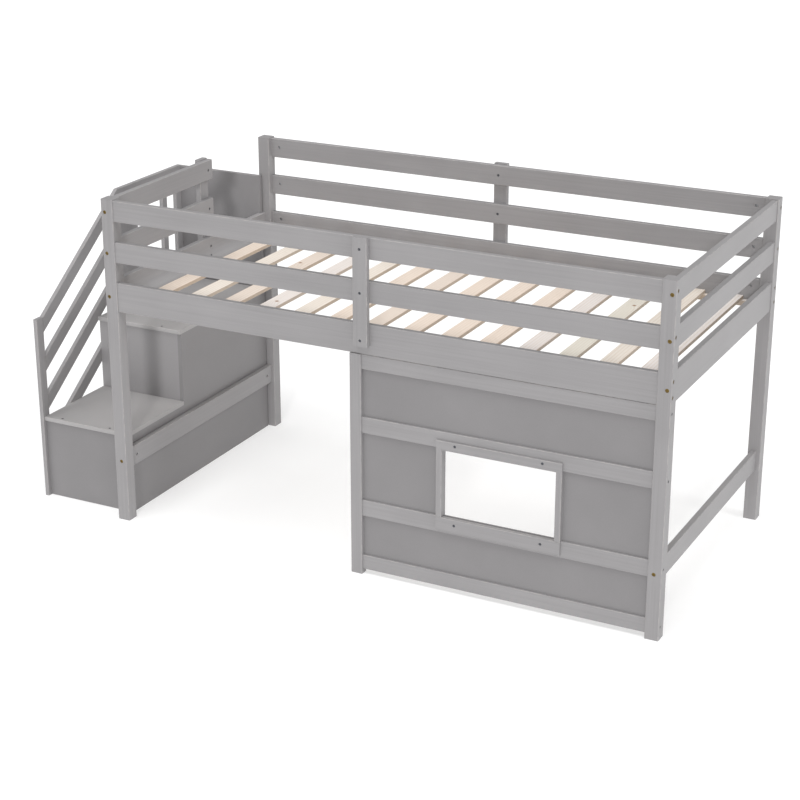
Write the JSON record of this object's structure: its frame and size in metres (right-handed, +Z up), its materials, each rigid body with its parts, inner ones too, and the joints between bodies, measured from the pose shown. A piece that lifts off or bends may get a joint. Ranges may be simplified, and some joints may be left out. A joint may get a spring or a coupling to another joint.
{
  "type": "loft bed",
  "caption": "Low loft bed with guard rails and open slats, a playhouse panel with a window under one half, and a railed storage staircase at the end.",
  "frame": {"origin": "middle of the footprint on the floor", "axes": "+X along the bed from the staircase end to the far end, +Y from the window side to the back, +Z up"},
  "size_m": [2.331, 1.072, 1.146],
  "materials": {
    "painted_wood": "satin grey paint",
    "painted_board": "satin grey paint on board",
    "pine": "bare planed pine",
    "dowel_wood": "bare fluted beech",
    "bolt_brass": "zinc plated, yellow passivated",
    "steel": "bright zinc plated"
  },
  "bodies": {
    "root": {"post_front_left": "painted_wood", "post_front_right": "painted_wood", "post_back_left": "painted_wood", "post_back_right": "painted_wood", "front_top_rail": "painted_wood", "front_mid_rail": "painted_wood", "front_side_rail": "painted_wood", "back_top_rail": "painted_wood", "back_mid_rail": "painted_wood", "back_side_rail": "painted_wood", "right_top_rail": "painted_wood", "right_mid_rail": "painted_wood", "right_side_rail": "painted_wood", "right_low_rail": "painted_wood", "left_top_rail": "painted_wood", "left_mid_rail": "painted_wood", "left_side_rail": "painted_wood", "left_low_rail": "painted_wood", "front_guard_post": "painted_wood", "back_guard_post": "painted_wood", "left_guard_post": "painted_wood", "front_ledger": "pine", "back_ledger": "pine", "slats": "pine", "panel_stile": "painted_wood", "panel_top_rail": "painted_wood", "panel_upper_rail": "painted_wood", "panel_lower_rail": "painted_wood", "panel_bottom_rail": "painted_wood", "infill_top": "painted_board", "infill_left": "painted_board", "infill_right": "painted_board", "infill_bottom": "painted_board", "window_left_stile": "painted_wood", "window_right_stile": "painted_wood", "window_head": "painted_wood", "window_sill": "painted_wood", "stair_front_newel": "painted_wood", "stair_upright": "painted_wood", "stair_back_newel": "painted_wood", "stair_baluster": "painted_wood", "stair_hand_rail": "painted_wood", "stair_slope_rail_2": "painted_wood", "stair_slope_rail_3": "painted_wood", "stair_slope_rail_4": "painted_wood", "stair_landing_rail": "painted_wood", "stair_front_panel": "painted_board", "stair_side_panel": "painted_board", "stair_back_panel": "painted_board", "stair_divider": "painted_wood", "stair_step": "painted_wood", "stair_landing": "painted_wood", "stair_floor": "painted_board", "stair_shelf": "painted_board", "stair_lower_apron": "painted_wood", "stair_upper_apron": "painted_wood", "connector_bolts": "bolt_brass", "barrel_nuts": "steel", "dowels": "dowel_wood", "wood_screws": "steel"}
  },
  "joints": []
}
